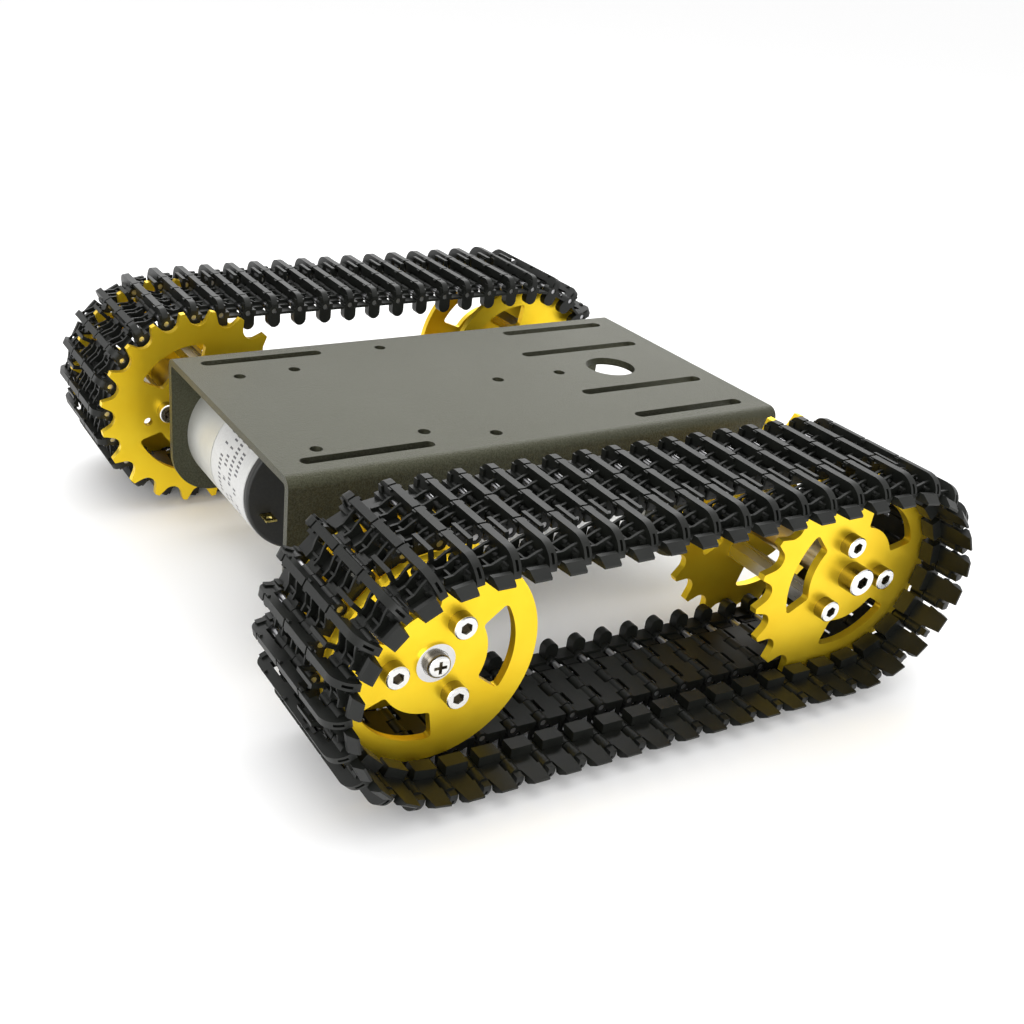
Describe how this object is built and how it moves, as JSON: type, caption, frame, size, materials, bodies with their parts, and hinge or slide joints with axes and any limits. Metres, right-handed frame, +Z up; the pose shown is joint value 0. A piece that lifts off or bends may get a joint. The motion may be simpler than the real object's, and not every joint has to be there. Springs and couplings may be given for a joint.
{
  "type": "tracked robot chassis",
  "caption": "Tracked robot car chassis: folded aluminium deck carrying diagonal gear motors, toothed drive wheels, plain idlers and moulded link tracks.",
  "frame": {"origin": "on the ground, under the middle of the vehicle", "axes": "+X forward along the tracks, +Y to the left side, +Z up"},
  "size_m": [0.1758, 0.2066, 0.061],
  "materials": {
    "deck_coating": "satin warm grey powder coat with fine grain",
    "zinc_casting": "matt grey casting",
    "steel_pin": "ground",
    "sintered_steel": "sintered, oiled",
    "plated_steel": "plated",
    "label_paper": "white paper band with plain printed dashes",
    "black_moulding": "satin black",
    "brass_tag": "tinned brass",
    "magnet_ferrite": "matt ferrite",
    "rotor_steel": "laminated",
    "screw_steel": "bright stainless",
    "shaft_steel": "ground",
    "hub_brass": "machined",
    "gold_aluminium": "gold anodised, satin",
    "standoff_brass": "machined",
    "bearing_steel": "ground and polished",
    "axle_steel": "turned",
    "track_plastic": "black nylon with a grey sheen",
    "pin_steel": "drawn wire"
  },
  "bodies": {
    "chassis": {"chassis_deck": "deck_coating", "gearbox_housing_left": "zinc_casting", "gearbox_cover_left": "zinc_casting", "gearbox_cluster_pin_left": "steel_pin", "motor_can_left": "plated_steel", "motor_label_left": "label_paper", "motor_endcap_left": "black_moulding", "motor_terminals_left": "brass_tag", "motor_magnets_left": "magnet_ferrite", "motor_screws_left": "screw_steel", "idler_bearing_inner_left": "bearing_steel", "idler_axle_left": "axle_steel", "idler_axle_screw_left": "screw_steel", "idler_wall_screw_left": "screw_steel", "track_links_left": "track_plastic", "track_pins_left": "pin_steel", "gearbox_housing_right": "zinc_casting", "gearbox_cover_right": "zinc_casting", "gearbox_cluster_pin_right": "steel_pin", "motor_can_right": "plated_steel", "motor_label_right": "label_paper", "motor_endcap_right": "black_moulding", "motor_terminals_right": "brass_tag", "motor_magnets_right": "magnet_ferrite", "motor_screws_right": "screw_steel", "idler_bearing_inner_right": "bearing_steel", "idler_axle_right": "axle_steel", "idler_axle_screw_right": "screw_steel", "idler_wall_screw_right": "screw_steel", "track_links_right": "track_plastic", "track_pins_right": "pin_steel"},
    "cluster_gear_left": {"gearbox_cluster_gear_left": "sintered_steel"},
    "rotor_left": {"motor_rotor_left": "rotor_steel"},
    "drive_wheel_left": {"output_shaft_left": "shaft_steel", "hub_coupling_left": "hub_brass", "hub_screw_left": "screw_steel", "sprocket_inner_left": "gold_aluminium", "sprocket_outer_left": "gold_aluminium", "sprocket_standoffs_left": "standoff_brass", "sprocket_screws_left": "screw_steel"},
    "idler_wheel_left": {"idler_inner_left": "gold_aluminium", "idler_outer_left": "gold_aluminium", "idler_standoffs_left": "standoff_brass", "idler_screws_left": "screw_steel", "idler_bearing_outer_left": "bearing_steel"},
    "cluster_gear_right": {"gearbox_cluster_gear_right": "sintered_steel"},
    "rotor_right": {"motor_rotor_right": "rotor_steel"},
    "drive_wheel_right": {"output_shaft_right": "shaft_steel", "hub_coupling_right": "hub_brass", "hub_screw_right": "screw_steel", "sprocket_inner_right": "gold_aluminium", "sprocket_outer_right": "gold_aluminium", "sprocket_standoffs_right": "standoff_brass", "sprocket_screws_right": "screw_steel"},
    "idler_wheel_right": {"idler_inner_right": "gold_aluminium", "idler_outer_right": "gold_aluminium", "idler_standoffs_right": "standoff_brass", "idler_screws_right": "screw_steel", "idler_bearing_outer_right": "bearing_steel"}
  },
  "joints": [
    {"name": "drive_spin_left", "type": "hinge", "parent": "chassis", "child": "drive_wheel_left", "pos_m": [-0.0574, 0.0571, 0.03041], "axis": [0, 1, 0], "continuous": true},
    {"name": "idler_spin_left", "type": "hinge", "parent": "chassis", "child": "idler_wheel_left", "pos_m": [0.0574, 0.0761, 0.03041], "axis": [0, 1, 0], "continuous": true},
    {"name": "cluster_spin_left", "type": "hinge", "parent": "chassis", "child": "cluster_gear_left", "pos_m": [-0.0539, 0.0265, 0.03676], "axis": [0, 1, 0], "continuous": true},
    {"name": "rotor_spin_left", "type": "hinge", "parent": "chassis", "child": "rotor_left", "pos_m": [-0.0504, 0.008, 0.03041], "axis": [0, 1, 0], "continuous": true},
    {"name": "drive_spin_right", "type": "hinge", "parent": "chassis", "child": "drive_wheel_right", "pos_m": [0.0574, -0.0571, 0.03041], "axis": [0, 1, 0], "continuous": true},
    {"name": "idler_spin_right", "type": "hinge", "parent": "chassis", "child": "idler_wheel_right", "pos_m": [-0.0574, -0.0761, 0.03041], "axis": [0, 1, 0], "continuous": true},
    {"name": "cluster_spin_right", "type": "hinge", "parent": "chassis", "child": "cluster_gear_right", "pos_m": [0.0539, -0.0265, 0.03676], "axis": [0, 1, 0], "continuous": true},
    {"name": "rotor_spin_right", "type": "hinge", "parent": "chassis", "child": "rotor_right", "pos_m": [0.0504, -0.008, 0.03041], "axis": [0, 1, 0], "continuous": true}
  ],
  "couplings": [
    {"joint": "idler_spin_left", "follows": "drive_spin_left", "ratio": 1},
    {"joint": "cluster_spin_left", "follows": "drive_spin_left", "ratio": -3},
    {"joint": "rotor_spin_left", "follows": "drive_spin_left", "ratio": 9},
    {"joint": "idler_spin_right", "follows": "drive_spin_right", "ratio": 1},
    {"joint": "cluster_spin_right", "follows": "drive_spin_right", "ratio": -3},
    {"joint": "rotor_spin_right", "follows": "drive_spin_right", "ratio": 9}
  ]
}
